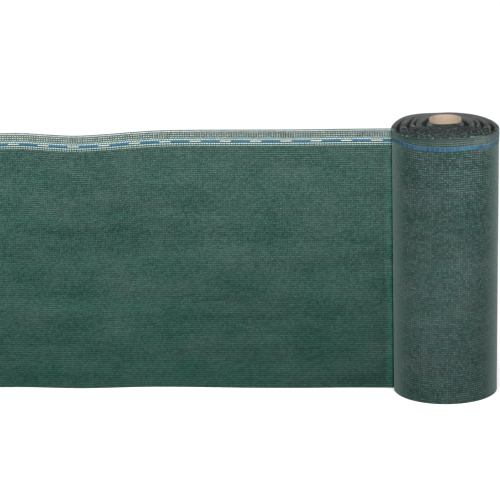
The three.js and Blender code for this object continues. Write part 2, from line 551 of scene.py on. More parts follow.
base = wound_annulus(
    "wound_base", base_outer, lower_turns, lower_steps,
    lower_crest, lower_groove, base_skirt, flip=True,
)
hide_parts("netting_roll")
print("wound_end", upper_turns, "turns,", triangle_count(end), "triangles; base", triangle_count(base))

# %% [markdown]
# Strands
#
# The selvedge is open enough to see its single yarns, so there they are real strands. A strand is swept
# along a path on the cloth: it has four sides, and each of its corners is a point of the same cloth
# function, so it bends with the netting. Curve objects with a bevel would also do, but they would need one
# curve for each row and each face of the cloth.

# %% Strands on the cloth
class Strands:
    """Collects swept strands into one mesh."""

    def __init__(self, point):
        self.point = point
        self.points = []
        self.places = []
        self.faces = []
        self.count = 0

    def add(self, run, across, lift, half_width, half_thickness):
        """Sweeps one strand of four sides along the cloth."""
        corners = [
            self.point(run, across - half_width, lift),
            self.point(run, across, lift + half_thickness),
            self.point(run, across + half_width, lift),
            self.point(run, across, lift - half_thickness),
        ]
        ring = np.stack(corners, axis=1)
        place = np.stack([run, across, lift], axis=-1)
        samples = len(run)
        number = self.count + np.arange(4 * samples).reshape(samples, 4)
        around = np.roll(number, -1, axis=1)
        sides = np.stack([number[:-1], number[1:], around[1:], around[:-1]], axis=-1).reshape(-1, 4)
        self.faces += sides.tolist()
        self.faces += [number[0].tolist(), number[-1, ::-1].tolist()]
        self.points.append(ring.reshape(-1, 3))
        self.places.append(np.repeat(place, 4, axis=0))
        self.count += 4 * samples

    def piece(self, name, smooth=True):
        made = add_piece(name, np.vstack(self.points), self.faces, np.vstack(self.places), smooth)
        print(name, triangle_count(made), "triangles")
        return made


# %% [markdown]
# Chains of the selvedge
#
# A chain is drawn as two strands that cross at every stitch, which leaves its small eyelets. The chains of
# the first rows are grey and thicker, because the edge has to bear the pull of hooks and ties.

# %% Selvedge chains
chain_width = 0.62 * MM
chain_height = 0.18 * MM
chain_yarn = 0.33 * MM
chain_flatness = 0.6
loose_chain_lift = 0.4 * MM
roll_chain_lift = 0.25 * MM
selvedge_rows = (0, 1, 2, 3)


def row_across(row):
    return edge_inset + row * row_pitch


def quarter_stitches(last):
    """Four places for each stitch of a row, from the first to the last."""
    return np.arange(0, last + 0.01, 0.25)


def add_chain(strands, row, last, ground):
    """Two strands that cross at every stitch."""
    stitch = quarter_stitches(last)
    for side in (1, -1):
        across = row_across(row) + side * chain_width * np.sin(math.pi * stitch)
        lift = ground + chain_height * (1 + side * np.cos(math.pi * stitch))
        half_width = np.full_like(across, chain_yarn)
        strands.add(stitch * stitch_length, across, lift, half_width, chain_flatness * chain_yarn)


def selvedge(name, point, last, ground):
    chains = Strands(point)
    for row in selvedge_rows:
        add_chain(chains, row, last, ground)
    return chains.piece(name)


loose_chains = selvedge("loose_selvedge_chains", loose_point, loose_stitches, loose_chain_lift)
roll_chains = selvedge("roll_selvedge_chains", roll_point, turn_stitches, roll_chain_lift)

# %% [markdown]
# Marker rows
#
# A few rows near the upper edge are knitted with coloured yarn to show where the edge is. On the inner face,
# which the loose length shows, a blue tape and a white one take turns along one row, and white loops come up
# through rows beside it. On the outer face, which the roll shows, the blue tape is always in front, and the
# loops above it are pale grey.

# %% Loops of the markers
loop_rise = 0.55 * MM
loop_sway = 0.15 * MM
loop_flatness = 0.5


def add_loops(strands, row, last, ground, yarn, aside=0):
    """A strand that dives under the cloth between its loops, so it shows as a row of dots."""
    stitch = quarter_stitches(last)
    lift = ground + loop_rise * np.cos(2 * math.pi * stitch)
    across = row_across(row) + aside + loop_sway * np.sin(math.pi * stitch)
    strands.add(stitch * stitch_length, across, lift, np.full_like(across, yarn), loop_flatness * yarn)


# %% Tapes of the markers
tape_sway = 0.15 * MM
tape_sway_stitches = 3.3
tape_wave = 0.12 * MM
tape_pinch = 0.16
tape_pinch_phase = 0.8
tape_thickness = 0.09 * MM
tape_steps = 4


def add_tape(strands, row, start, stop, lift, half_width, aside=0):
    """A flat tape along a row, with a slight ripple at each stitch."""
    samples = max(3, int(round((stop - start) / stitch_length * tape_steps)) + 1)
    run = np.linspace(start, stop, samples)
    sway = np.sin(2 * math.pi * run / (tape_sway_stitches * stitch_length))
    across = row_across(row) + aside + tape_sway * sway
    wave = lift + tape_wave * np.cos(2 * math.pi * run / stitch_length)
    pinch = np.cos(2 * math.pi * run / stitch_length + tape_pinch_phase)
    strands.add(run, across, wave, half_width * (1 + tape_pinch * pinch), tape_thickness)


# %% Markers on the loose length
dash_pitch = 55.5 * MM
first_dash = -17.5 * MM
blue_dash = 35.3 * MM
shortest_dash = 2 * MM
cut_margin = 0.5 * MM
marker_shift = 0.6 * MM
white_shift = 0.6 * MM
dash_lift = 0.65 * MM
blue_half = 1.9 * MM
white_half = 0.9 * MM
back_blue_half = 1.8 * MM
loose_loop_lift = 0.35 * MM
loose_loops = [
    # row, half width and shift towards the lower edge in millimetres
    (0, 0.7, 2.3),
    (marker_row - 1, 0.95, 1.7),
    (marker_row + 1, 0.85, 1.7),
    (marker_row + 2, 0.5, 1.5),
]
loose_blue = Strands(loose_point)
loose_white = Strands(loose_point)
for start in np.arange(first_dash, loose_length, dash_pitch):
    stop = min(start + blue_dash, loose_length)
    add_tape(loose_blue, marker_row, max(start, cut_margin), stop, dash_lift, blue_half, marker_shift)
    next_start = min(start + dash_pitch, loose_length)
    if next_start - stop > shortest_dash:
        aside = white_shift + marker_shift
        add_tape(loose_white, marker_row, stop, next_start, dash_lift, white_half, aside)
for row, yarn, aside in loose_loops:
    add_loops(loose_white, row, loose_stitches, loose_loop_lift, yarn * MM, aside * MM)
add_tape(loose_blue, marker_row, 0, loose_length, -dash_lift, back_blue_half)
loose_blue_piece = loose_blue.piece("loose_blue_marker", smooth=False)
loose_white_piece = loose_white.piece("loose_white_marker", smooth=False)

# %% Markers on the roll
turn_length = turn_stitches * stitch_length
roll_blue_lift = 0.32 * MM
roll_blue_half = 3.4 * MM
roll_loop_lift = 0.12 * MM
roll_loops = [
    # row, half width in millimetres
    (1, 0.35),
    (2, 0.6),
    (3, 0.55),
    (4, 0.4),
]
roll_blue = Strands(roll_point)
add_tape(roll_blue, marker_row, 0, turn_length, roll_blue_lift, roll_blue_half)
roll_blue_piece = roll_blue.piece("roll_blue_marker", smooth=False)
roll_pale = Strands(roll_point)
for row, yarn in roll_loops:
    add_loops(roll_pale, row, turn_stitches, roll_loop_lift, yarn * MM)
roll_pale_piece = roll_pale.piece("roll_pale_loops")

# %% [markdown]
# The card core
#
# The core is a tube wound from strips of thick paper. Its cut ends are a little rounded and fuzzy, so the
# profile has small lips and its rim is made slightly uneven. The CAD tube is plain, so this piece takes
# its place.

# %% Profile of the card core
core_lip = 0.5 * MM
core_steps = 144
core_rows = 24


def core_profile():
    """Radius and height of each ring of the tube, up the outside, over the rim and down the bore."""
    outer = core_radius
    inner = core_radius - core_wall
    heights = np.linspace(core_lip, core_length - core_lip, core_rows)
    middle_radii = [outer - core_lip, (outer + inner) / 2, inner + core_lip]
    profile = [(outer, z) for z in heights]
    profile += [(radius, core_length) for radius in middle_radii]
    profile += [(inner, z) for z in heights[::-1]]
    profile += [(radius, 0) for radius in middle_radii[::-1]]
    return np.array(profile)


# %% Card core
rim_depth = 2 * MM
fray_waves = [
    # share, lobes round the rim, phase
    (1, 9, 0.5),
    (1, 23, 0),
    (0.8, 41, 2),
]
fray_step = 0.09 * MM
fray_middle = 2.2
rim_sway = 0.04 * MM
rim_sway_lobes = 17
rim_sway_phase = 1


def card_core():
    profile = core_profile()
    angle = 2 * math.pi * np.arange(core_steps) / core_steps
    radius = np.repeat(profile[:, :1], core_steps, axis=1)
    height = np.repeat(profile[:, 1:], core_steps, axis=1)
    near_rim = np.clip((height - core_length + rim_depth) / rim_depth, 0, 1)
    fray = sum(share * np.sin(lobes * angle + phase) for share, lobes, phase in fray_waves)
    height = height - fray_step * near_rim * (fray + fray_middle)
    radius = radius + rim_sway * near_rim * np.sin(rim_sway_lobes * angle + rim_sway_phase)
    x = axis_x + radius * np.cos(angle)
    y = axis_y + radius * np.sin(angle)
    points = np.stack([x, y, height], axis=-1).reshape(-1, 3)
    rings = len(profile)
    faces = grid_faces(rings, core_steps, closed=True)
    first = np.arange(core_steps)
    last = (rings - 1) * core_steps + first
    faces += np.stack([last, first, np.roll(first, -1), np.roll(last, -1)], axis=-1).tolist()
    return add_piece("card_core", points, faces)


core = card_core()
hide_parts("core_tube")
print("card_core", triangle_count(core), "triangles")

# %% [markdown]
# Short names for nodes
#
# A material is a tree of nodes. Added one by one in code, they take many lines, so a small helper adds a
# node, sets it and feeds its sockets in one call. A value given to it is a number, a colour, or the output of
# another node, which it then links.

# %% Node helper
class Tree:
    """Adds nodes to one node tree."""

    def __init__(self, tree):
        self.tree = tree

    def feed(self, socket, value):
        if isinstance(value, bpy.types.NodeSocket):
            self.tree.links.new(value, socket)
        else:
            socket.default_value = value

    def node(self, kind, inputs=None, **settings):
        made = self.tree.nodes.new(kind)
        for setting, value in settings.items():
            setattr(made, setting, value)
        for name, value in (inputs or {}).items():
            self.feed(made.inputs[name], value)
        return made

    def math(self, operation, *values, clamp=False):
        made = self.node("ShaderNodeMath", operation=operation, use_clamp=clamp)
        for socket, value in zip(made.inputs, values):
            self.feed(socket, value)
        return made.outputs[0]

    def smooth_step(self, value, low, lit_top):
        """0 below low and 1 above high, or the other way round if low is the larger."""
        made = self.node("ShaderNodeMapRange", {"Value": value}, interpolation_type="SMOOTHSTEP")
        self.feed(made.inputs["From Min"], low)
        self.feed(made.inputs["From Max"], lit_top)
        return made.outputs[0]

    def mix(self, factor, first, second):
        """A colour between two. A Mix node's factor is its socket 0, and its colours are 6 and 7."""
        made = self.node("ShaderNodeMix", data_type="RGBA")
        for place, value in ((0, factor), (6, first), (7, second)):
            self.feed(made.inputs[place], value)
        return made.outputs[2]

    def noise(self, place, scale, detail=2.0, stretch=(1, 1, 1)):
        """Soft noise from -1 to 1 or so, drawn out along an axis where stretch is small."""
        drawn = self.node("ShaderNodeVectorMath", {0: place, 1: stretch}, operation="MULTIPLY").outputs[0]
        made = self.node("ShaderNodeTexNoise", {"Vector": drawn, "Scale": scale, "Detail": detail})
        return self.math("MULTIPLY_ADD", made.outputs[0], 4, -2)

    def random(self, first, second):
        """A different value from 0 to 1 for each pair of whole numbers."""
        pair = self.node("ShaderNodeCombineXYZ", {"X": first, "Y": second}).outputs[0]
        return self.node("ShaderNodeTexWhiteNoise", {"Vector": pair}, noise_dimensions="2D").outputs[0]


def new_group(name, inputs, outputs):
    """An empty shader node group with named sockets, the sockets it is given, and its output node."""
    group = bpy.data.node_groups.new(name, "ShaderNodeTree")
    for label, kind, value in inputs:
        socket = group.interface.new_socket(name=label, in_out="INPUT", socket_type="NodeSocket" + kind)
        if value is not None:
            socket.default_value = value
    for label in outputs:
        group.interface.new_socket(name=label, in_out="OUTPUT", socket_type="NodeSocketFloat")
    tree = Tree(group)
    return tree, tree.node("NodeGroupInput").outputs, tree.node("NodeGroupOutput")


# %% [markdown]
# The knit pattern
#
# A shade net is knitted on straight pillars. Tapes of thin film cross from pillar to pillar and leave a small
# diamond-shaped hole between each pair of crossings. An image could show this, but it would blur when seen
# near, so the pattern is worked out from each point's place on the cloth. The group puts out masks and
# values only, and each material decides what to do with them. All its sizes are shares of a row or a stitch.

# %% Rows, pillars and holes of the pattern
row_wander_scale = 70
stitch_wander_scale = 110
pillar_half_width = 0.27
pillar_softness = 0.05
hole_offset = 0.3
hole_slimness = 0.3
edge_slimness = 0.48
hole_softness = 0.04
least_opening = 0.85
opening_spread = 0.3
band_opening = 0.08


def wandering_rows(tree, given, place):
    """Row and stitch numbers of a place, which wander a little from straight lines."""
    split = tree.node("ShaderNodeSeparateXYZ", {0: place})
    from_edge = tree.math("SUBTRACT", split.outputs["Y"], given["Edge Inset"])
    straight_row = tree.math("DIVIDE", from_edge, given["Row Pitch"])
    straight_stitch = tree.math("DIVIDE", split.outputs["X"], given["Stitch Pitch"])
    row_wander = tree.noise(place, row_wander_scale)
    stitch_wander = tree.noise(place, stitch_wander_scale)
    row = tree.math("MULTIPLY_ADD", row_wander, given["Wobble"], straight_row)
    stitch = tree.math("MULTIPLY_ADD", stitch_wander, given["Wobble"], straight_stitch)
    in_selvedge = tree.math("LESS_THAN", split.outputs["Y"], given["Edge Width"])
    return row, stitch, in_selvedge


def pillar_mask(tree, given, row, from_loop):
    """1 on the pillars, which get narrower between their loops."""
    from_pillar = tree.math("PINGPONG", row, 0.5)
    narrowing = tree.math("MULTIPLY", from_loop, given["Loop Break"])
    loop_width = tree.math("SUBTRACT", pillar_half_width, narrowing)
    overhang = tree.math("SUBTRACT", from_pillar, loop_width)
    return tree.smooth_step(overhang, pillar_softness, -pillar_softness)


def hole_mask(tree, given, row, stitch, from_loop, in_selvedge, band):
    """1 in the holes, and how far a place lies from the middle of its hole."""
    hole_line = tree.math("MULTIPLY_ADD", in_selvedge, 0.5 - hole_offset, hole_offset)
    from_gap = tree.math("PINGPONG", tree.math("SUBTRACT", row, hole_line), 0.5)
    from_crossing = tree.math("SUBTRACT", 0.5, from_loop)
    drawn_out = tree.math("MULTIPLY_ADD", in_selvedge, edge_slimness - hole_slimness, hole_slimness)
    diamond = tree.math("MULTIPLY_ADD", from_crossing, drawn_out, from_gap)
    cell_row = tree.math("FLOOR", row)
    cell_stitch = tree.math("ROUND", tree.math("SUBTRACT", stitch, 0.5))
    chance = tree.random(cell_stitch, cell_row)
    uneven = tree.math("MULTIPLY_ADD", chance, opening_spread, least_opening)
    uneven = tree.math("MULTIPLY_ADD", band, band_opening, uneven)
    wider = tree.math("SUBTRACT", given["Edge Openness"], given["Openness"])
    local_openness = tree.math("MULTIPLY_ADD", in_selvedge, wider, given["Openness"])
    opening = tree.math("MULTIPLY", local_openness, uneven)
    past_edge = tree.math("SUBTRACT", diamond, opening)
    return tree.smooth_step(past_edge, hole_softness, -hole_softness), diamond


# %% Node group: knit pattern
film_fold_rate = 60
film_fold_height = 0.08
hole_sink = -0.8
grain_scale = 900
grain_share = 0.4


def build_knit_pattern():
    inputs = [
        ("Place", "Vector", None),
        ("Row Pitch", "Float", row_pitch),
        ("Stitch Pitch", "Float", stitch_length),
        ("Edge Inset", "Float", edge_inset),
        ("Openness", "Float", 0.16),
        ("Edge Openness", "Float", 0.3),
        ("Edge Width", "Float", open_rows * row_pitch),
        ("Wobble", "Float", 0.06),
        ("Loop Break", "Float", 0.2),
    ]
    outputs = ["Loop", "Hole", "Height", "Fleck", "Band", "Selvedge"]
    tree, given, result = new_group("Knit pattern", inputs, outputs)
    place = given["Place"]
    row, stitch, in_selvedge = wandering_rows(tree, given, place)
    from_loop = tree.math("PINGPONG", stitch, 0.5)
    pillar = pillar_mask(tree, given, row, from_loop)
    fine_band = tree.noise(place, scale=34, detail=3, stretch=(0.06, 1, 1))
    broad_band = tree.noise(place, scale=9, detail=2, stretch=(0.3, 1, 1))
    band = tree.math("ADD", fine_band, broad_band)
    hole, diamond = hole_mask(tree, given, row, stitch, from_loop, in_selvedge, band)
    film_folds = tree.math("SINE", tree.math("MULTIPLY", diamond, film_fold_rate))
    loop_crown = tree.math("MULTIPLY", pillar, tree.math("SUBTRACT", 1, from_loop))
    height = tree.math("MULTIPLY_ADD", film_folds, film_fold_height, loop_crown)
    height = tree.math("MULTIPLY_ADD", hole, hole_sink, height)
    own_loop = tree.random(tree.math("ROUND", stitch), tree.math("ROUND", row))
    glint = tree.math("MULTIPLY_ADD", own_loop, 2, -1)
    fleck = tree.math("MULTIPLY_ADD", tree.noise(place, grain_scale, 3), grain_share, glint)
    for label, value in zip(outputs, (pillar, hole, height, fleck, band, in_selvedge)):
        tree.feed(result.inputs[label], value)
    return tree.tree


knit_pattern = build_knit_pattern()
print("knit pattern", len(knit_pattern.nodes), "nodes")

# %% [markdown]
# Yarn and handling
#
# Every yarn of the netting is drawn plastic, so it has fine lines along its length and a slightly uneven
# colour. Handling and dust make larger pale patches. Both show on every strand as well as on the knit, so
# they are a second group.

# %% Node group: yarn surface
line_scale = 2600
shade_scale = 240


def build_yarn_surface():
    inputs = [("Place", "Vector", None), ("Fineness", "Float", 1.0), ("Patch Size", "Float", 0.12)]
    tree, given, result = new_group("Yarn surface", inputs, ["Lines", "Shade", "Patch"])
    place = given["Place"]
    fine_lines = tree.math("MULTIPLY", given["Fineness"], line_scale)
    fine_shade = tree.math("MULTIPLY", given["Fineness"], shade_scale)
    patch_scale = tree.math("DIVIDE", 1, given["Patch Size"])
    lines = tree.noise(place, fine_lines, detail=2, stretch=(0.12, 1, 1))
    shade = tree.noise(place, fine_shade, detail=3)
    patch = tree.noise(place, patch_scale, detail=2.5, stretch=(0.6, 1, 1))
    for label, value in (("Lines", lines), ("Shade", shade), ("Patch", patch)):
        tree.feed(result.inputs[label], value)
    return tree.tree


yarn_surface = build_yarn_surface()
print("yarn surface", len(yarn_surface.nodes), "nodes")

# %% [markdown]
# Materials
#
# Each material keeps its own Principled BSDF, and places the groups with its own values. A small helper
# starts one: the shader, the output, and the place attribute that the meshes carry.

# %% Start a material
def new_material(name, ior_level=0.5, **uniform):
    material = bpy.data.materials.new(name)
    material.use_nodes = True
    material.node_tree.nodes.clear()
    tree = Tree(material.node_tree)
    shader = tree.node("ShaderNodeBsdfPrincipled")
    shader.inputs["Specular IOR Level"].default_value = ior_level
    for socket, value in uniform.items():
        shader.inputs[socket.replace("_", " ")].default_value = value
    output = tree.node("ShaderNodeOutputMaterial")
    tree.feed(output.inputs["Surface"], shader.outputs[0])
    place = tree.node("ShaderNodeAttribute", attribute_name="cloth_place").outputs["Vector"]
    return material, tree, shader, place


def use_group(tree, group, **inputs):
    """Places a node group and returns its outputs."""
    made = tree.node("ShaderNodeGroup", node_tree=group)
    for name, value in inputs.items():
        tree.feed(made.inputs[name.replace("_", " ")], value)
    return made.outputs


def add_bump(tree, shader, height, distance, strength):
    bump = tree.node("ShaderNodeBump", {"Height": height, "Distance": distance, "Strength": strength})
    tree.feed(shader.inputs["Normal"], bump.outputs[0])


def scaled(tree, colour, factor):
    """A colour made brighter or darker."""
    made = tree.node("ShaderNodeVectorMath", {0: colour}, operation="SCALE")
    tree.feed(made.inputs["Scale"], factor)
    return made.outputs[0]


def finish_netting(tree, shader, knit, yarn, roughness):
    """The netting's uneven roughness and its relief of stitches and yarn lines."""
    tree.feed(shader.inputs["Roughness"], tree.math("MULTIPLY_ADD", yarn["Shade"], 0.06, roughness))
    height = tree.math("MULTIPLY_ADD", yarn["Lines"], 0.05, knit["Height"])
    add_bump(tree, shader, height, 0.25 * MM, 0.6)


def dress(material, *pieces):
    for piece in pieces:
        piece.data.materials.clear()
        piece.data.materials.append(material)
    print(material.name, "on", [piece.name for piece in pieces])


# %% [markdown]
# Green netting, loose and wound
#
# The loose length is one layer, so the floor shows through its holes, which the Alpha socket does. Its holes
# are a little wider near the upper edge. Its colour turns paler towards its free end, darker towards its
# lower edge as painted shade, and paler next to the roll as painted light in the crease. On the roll there
# are more layers under the holes, so there the holes show the layer below, painted darker as shade. Both have
# a dark green ground with paler, greyer chains.

# %% Helpers for the green netting
def tint(tree, knit, yarn, colour, amount):
    """Gives a colour the unevenness of stitches, yarns and patches."""
    unevenness = [(knit["Fleck"], 0.1), (yarn["Patch"], 0.1), (yarn["Shade"], 0.08), (knit["Band"], 0.08)]
    lightness = 1
    for mask, strength in unevenness:
        lightness = tree.math("MULTIPLY_ADD", mask, strength * amount, lightness)
    return scaled(tree, colour, lightness)


def dusty(tree, yarn, green, grey, balance=0.5):
    """Green where the netting is clean and greyer where it is dusty, in soft patches."""
    share = tree.math("MULTIPLY_ADD", yarn["Patch"], 0.55, balance, clamp=True)
    return tree.mix(share, green, grey)


def down_the_cloth(tree, place):
    """0 at the netting's upper edge and 1 at its lower edge."""
    across = tree.node("ShaderNodeSeparateXYZ", {0: place}).outputs["Y"]
    return tree.math("DIVIDE", across, netting_width)


# %% Green netting of the loose length
def loose_netting():
    material, tree, shader, place = new_material("netting, one layer", 0.3)
    down = down_the_cloth(tree, place)
    openness = tree.math("MULTIPLY_ADD", down, -0.06, 0.185)
    knit = use_group(tree, knit_pattern, Place=place, Openness=openness, Edge_Openness=0.225)
    yarn = use_group(tree, yarn_surface, Place=place, Patch_Size=0.055)
    ground = dusty(tree, yarn, (0.002, 0.036, 0.025, 1), (0.011, 0.034, 0.027, 1))
    loops = dusty(tree, yarn, (0.008, 0.086, 0.062, 1), (0.031, 0.08, 0.064, 1))
    ground = tree.mix(knit["Selvedge"], ground, (0.02, 0.08, 0.056, 1))
    loops = tree.mix(knit["Selvedge"], loops, (0.065, 0.14, 0.105, 1))
    body = tree.mix(knit["Loop"], ground, loops)
    along = tree.node("ShaderNodeSeparateXYZ", {0: place}).outputs["X"]
    # Paler towards the free end, darker towards the lower edge as painted shade, and paler close to the roll
    # as painted light in the crease, where the roll shades the sheet.
    paler_towards_free_end = tree.math("MULTIPLY_ADD", along, 0.2 / loose_length, 0.93)
    tone_with_painted_light = tree.math("MULTIPLY_ADD", tree.math("MULTIPLY", down, down), -0.15, paler_towards_free_end)
    painted_light_by_roll = tree.smooth_step(along, 20 * MM, 3 * MM)
    tone_with_painted_light = tree.math("MULTIPLY_ADD", painted_light_by_roll, 1.0, tone_with_painted_light)
    tree.feed(shader.inputs["Base Color"], scaled(tree, tint(tree, knit, yarn, body, 2.2), tone_with_painted_light))
    body_sight = tree.math("MULTIPLY_ADD", down, -0.22, 0.4)
    see_through = tree.math("MULTIPLY_ADD", knit["Selvedge"], 0.5, body_sight, clamp=True)
    hidden = tree.math("MULTIPLY", knit["Hole"], see_through)
    tree.feed(shader.inputs["Alpha"], tree.math("SUBTRACT", 1, hidden))
    finish_netting(tree, shader, knit, yarn, 0.55)
    return material


dress(loose_netting(), loose)

# %% [markdown]
# The netting on the roll
#
# The roll isn't the same all round. It is painted paler high up and towards the front right than at the front
# left, as painted light from the upper right. Its selvedge gets a painted highlight at the front right. A
# painted sheen makes the roll's sides paler where they are seen at a slant, and its first rows are painted
# darker as the shade of the end. Each of these is a mask made from the place on the cloth, apart from the
# sheen, which needs the Layer Weight node. The places round the roll are shares of a turn, counted back from
# where the loose length leaves it.

# %% Masks round the roll
highlight_run = 0.615
highlight_reach = 0.075
dark_run = 0.8
pale_run = 0.66


def grazing(tree, start, full):
    """0 where a surface faces the viewer and 1 where it is seen at a slant."""
    facing = tree.node("ShaderNodeLayerWeight", {"Blend": 0.5}).outputs["Facing"]
    return tree.smooth_step(facing, start, full)


def share_of_turn(tree, place):
    """How far round the roll a place lies, from 0 to 1."""
    return tree.math("DIVIDE", tree.node("ShaderNodeSeparateXYZ", {0: place}).outputs["X"], turn_length)


def towards_right(tree, place):
    """0 at the front left of the roll and 1 at its front right."""
    return tree.smooth_step(share_of_turn(tree, place), dark_run, pale_run)


def selvedge_highlight(tree, place):
    """Where the selvedge of the roll gets a painted highlight, at its front right."""
    split = tree.node("ShaderNodeSeparateXYZ", {0: place})
    aside = tree.math("ABSOLUTE", tree.math("SUBTRACT", share_of_turn(tree, place), highlight_run))
    near = tree.smooth_step(aside, highlight_reach, 0)
    lit_top = tree.smooth_step(split.outputs["Y"], 40 * MM, 6 * MM)
    irregular = tree.math("MULTIPLY_ADD", tree.noise(place, 160, 3), 0.3, 0.7)
    return tree.math("MULTIPLY", tree.math("MULTIPLY", near, lit_top), irregular)


# %% Green netting on the roll
def layer_below(tree, place):
    """The netting under the last wrap, out of step with it, painted darker as the shade under the last wrap.
    """
    stretch = {0: place, 1: (1.012, 1.006, 1)}
    stretched = tree.node("ShaderNodeVectorMath", stretch, operation="MULTIPLY").outputs[0]
    shift = {0: stretched, 1: (1.7 * MM, 1.1 * MM, 0)}
    shifted = tree.node("ShaderNodeVectorMath", shift, operation="ADD").outputs[0]
    below = use_group(tree, knit_pattern, Place=shifted, Openness=0.3, Wobble=0.2)
    return tree.mix(below["Loop"], (0.003, 0.013, 0.011, 1), (0.035, 0.065, 0.058, 1))


def last_wrap_body(tree, place, knit, yarn):
    """Loops on a darker ground, with less contrast lower down, painted paler high up and at the front right
    as painted light.
    """
    ground = dusty(tree, yarn, (0.008, 0.045, 0.036, 1), (0.024, 0.042, 0.039, 1))
    loops = dusty(tree, yarn, (0.058, 0.126, 0.109, 1), (0.09, 0.122, 0.117, 1))
    own = tree.math("MULTIPLY_ADD", knit["Fleck"], 0.42, 0.6, clamp=True)
    loops = tree.mix(own, ground, loops)
    down = down_the_cloth(tree, place)
    standing_out = tree.math("MULTIPLY_ADD", down, -0.35, 1)
    body = tree.mix(tree.math("MULTIPLY", knit["Loop"], standing_out), ground, loops)
    # Painted light: the wrap is painted paler high up towards the front right.
    lit_top = tree.math("POWER", tree.math("SUBTRACT", 1, down), 2)
    painted_light_right = tree.math("MULTIPLY_ADD", towards_right(tree, place), 0.6, 0.08)
    evened = tree.math("MULTIPLY_ADD", down, 0.12, 0.94)
    body = scaled(tree, body, tree.math("MULTIPLY_ADD", lit_top, painted_light_right, evened))
    # Painted light: the selvedge is painted paler towards the front right.
    paler_edge = tree.math("MULTIPLY_ADD", towards_right(tree, place), 0.3, 0.1)
    return tree.mix(tree.math("MULTIPLY", knit["Selvedge"], paler_edge), body, (0.08, 0.12, 0.11, 1))


def wound_netting():
    gloss = {"Sheen_Weight": 0.2, "Sheen_Roughness": 0.35}
    material, tree, shader, place = new_material("netting, wound", 0.3, **gloss)
    irregular = {"Openness": 0.24, "Edge_Openness": 0.3, "Wobble": 0.1, "Loop_Break": 0.65}
    knit = use_group(tree, knit_pattern, Place=place, **irregular)
    yarn = use_group(tree, yarn_surface, Place=place, Patch_Size=0.045)
    body = last_wrap_body(tree, place, knit, yarn)
    colour = tree.mix(knit["Hole"], tint(tree, knit, yarn, body, 2.6), layer_below(tree, place))
    first_rows = tree.node("ShaderNodeSeparateXYZ", {0: place}).outputs["Y"]
    edge_shade = tree.smooth_step(first_rows, 9 * MM, 2 * MM)
    colour = tree.mix(tree.math("MULTIPLY", edge_shade, 0.75), colour, (0.012, 0.026, 0.023, 1))
    # Painted highlight: the selvedge at the front right is painted pale and speckled, where it catches the
    # light.
    speckled = tree.math("MULTIPLY_ADD", knit["Fleck"], 0.25, 0.5, clamp=True)
    pale = tree.math("MULTIPLY", selvedge_highlight(tree, place), speckled)
    colour = tree.mix(pale, colour, (0.26, 0.32, 0.31, 1))
    # Painted sheen: the base colour turns paler where the wrap is seen at a slant.
    slanted = tree.math("MULTIPLY", grazing(tree, 0.3, 0.75), 0.45)
    colour = tree.mix(slanted, colour, (0.11, 0.2, 0.175, 1))
    tree.feed(shader.inputs["Base Color"], colour)
    finish_netting(tree, shader, knit, yarn, 0.6)
    return material


dress(wound_netting(), wrap)

# %% [markdown]
# Yarns of the selvedge and the markers
#
# The selvedge has paler, greyer yarn than the net, and the markers are white and blue. All are the same
# drawn plastic, so one recipe makes them with different colours. The paler colour of each is spread evenly,
# apart from the roll's tape and chains, which are painted paler towards the front right as painted light.

# %% How the paler colour is spread on a yarn
def even_spread(tree, place, yarn):
    """The same all along, apart from the yarn's own shades."""
    return tree.math("MULTIPLY_ADD", yarn["Shade"], 0.3, 0.5)


def chain_spread(tree, place, yarn):
    """As dark as the net at the front left and painted paler towards the front right as painted light."""
    return tree.math("MULTIPLY_ADD", towards_right(tree, place), 0.4, 0.12)


def tape_spread(tree, place, yarn):
    """Dull at the front left and painted paler towards the front right as painted light, with flecks."""
    knit = use_group(tree, knit_pattern, Place=place, Openness=0.1)
    share = tree.math("MULTIPLY_ADD", towards_right(tree, place), 0.45, 0.22)
    return tree.math("MULTIPLY_ADD", knit["Fleck"], 0.22, share)


# %% Coloured yarns
def coloured_yarn(name, dark, pale, patchy, spread=even_spread, roughness=0.5, ior_level=0.4):
    material, tree, shader, place = new_material(name, ior_level)
    yarn = use_group(tree, yarn_surface, Place=place, Fineness=0.8, Patch_Size=0.03)
    share = spread(tree, place, yarn)
    share = tree.math("MULTIPLY_ADD", yarn["Patch"], patchy, share, clamp=True)
    tree.feed(shader.inputs["Base Color"], tree.mix(share, dark, pale))
    tree.feed(shader.inputs["Roughness"], tree.math("MULTIPLY_ADD", yarn["Lines"], 0.05, roughness))
    add_bump(tree, shader, yarn["Lines"], 0.05 * MM, 0.6)
    return material


grey_yarn = coloured_yarn("selvedge chain yarn", (0.04, 0.065, 0.055, 1), (0.14, 0.155, 0.14, 1), 0.12)
blue_yarn = coloured_yarn("blue marker yarn", (0.02, 0.1, 0.17, 1), (0.05, 0.18, 0.27, 1), 0.25)
white_yarn = coloured_yarn("white marker yarn", (0.38, 0.45, 0.46, 1), (0.72, 0.78, 0.79, 1), 0.12)
loop_yarn = coloured_yarn("pale loops on the roll", (0.06, 0.09, 0.085, 1), (0.26, 0.29, 0.28, 1), 0.3)
roll_tape = coloured_yarn(
    "blue marker on the roll", (0.004, 0.045, 0.095, 1), (0.055, 0.155, 0.235, 1), 0.2,
    spread=tape_spread, roughness=0.55,
)
roll_chain = coloured_yarn(
    "chain yarn on the roll", (0.015, 0.048, 0.042, 1), (0.13, 0.165, 0.16, 1), 0.15,
    spread=chain_spread, roughness=0.55, ior_level=0.55,
)

# %% Dress the strands
dress(grey_yarn, loose_chains)
dress(roll_chain, roll_chains)
dress(loop_yarn, roll_pale_piece)
dress(blue_yarn, loose_blue_piece)
dress(roll_tape, roll_blue_piece)
dress(white_yarn, loose_white_piece)

